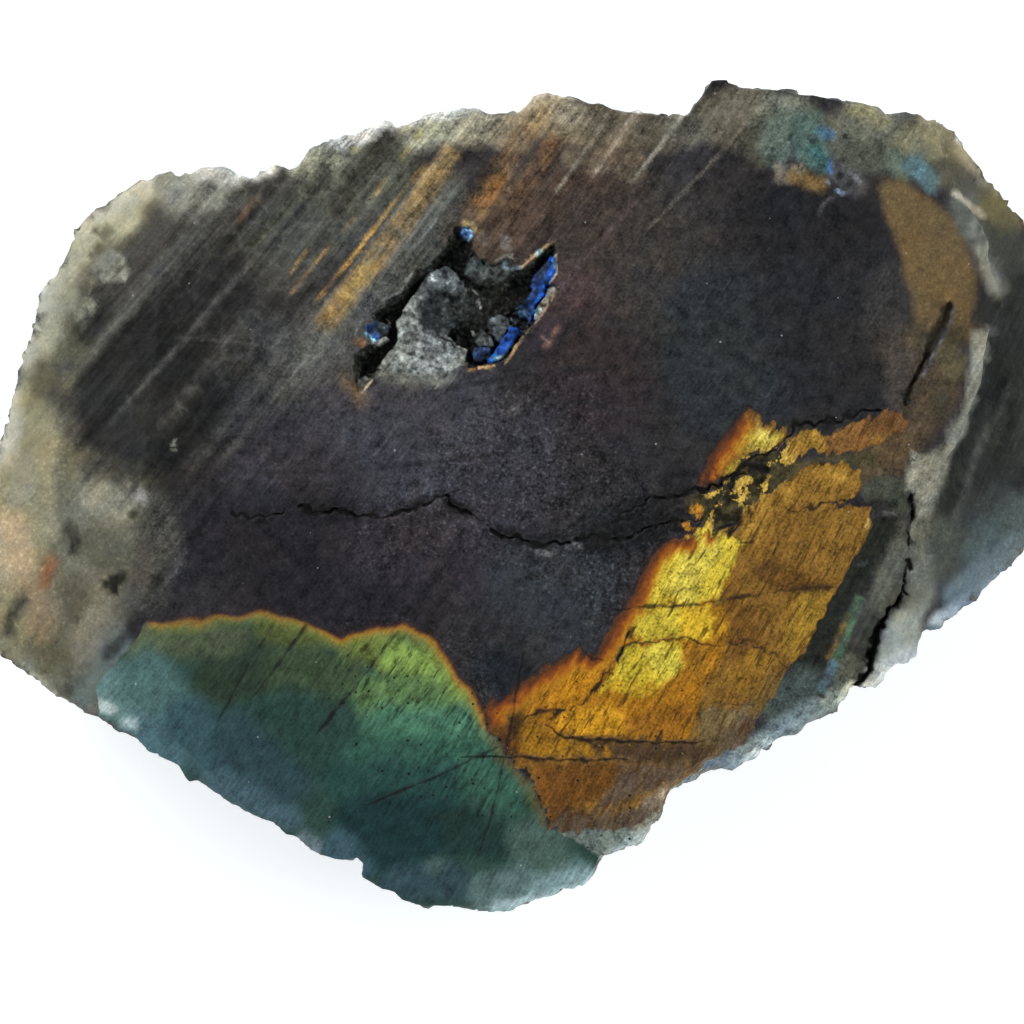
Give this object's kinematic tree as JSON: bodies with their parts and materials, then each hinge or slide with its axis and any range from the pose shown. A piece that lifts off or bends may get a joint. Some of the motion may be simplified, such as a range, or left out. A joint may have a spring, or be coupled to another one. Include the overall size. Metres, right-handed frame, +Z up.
{
  "type": "rough labradorite chunk",
  "caption": "Palm-sized block of raw labradorite, sawn flat above and below with broken walls, a worn end, a stepped shelf and a small crystal pit.",
  "frame": {"origin": "under the middle of the block, on its sawn base", "axes": "+X along the block's length towards the shelf, +Y across it towards the side nearer the crystal pit, +Z up out of the show face"},
  "size_m": [0.1107, 0.0834, 0.018],
  "materials": {
    "labradorite": "satin"
  },
  "bodies": {
    "root": {"labradorite_chunk": "labradorite"}
  },
  "joints": []
}
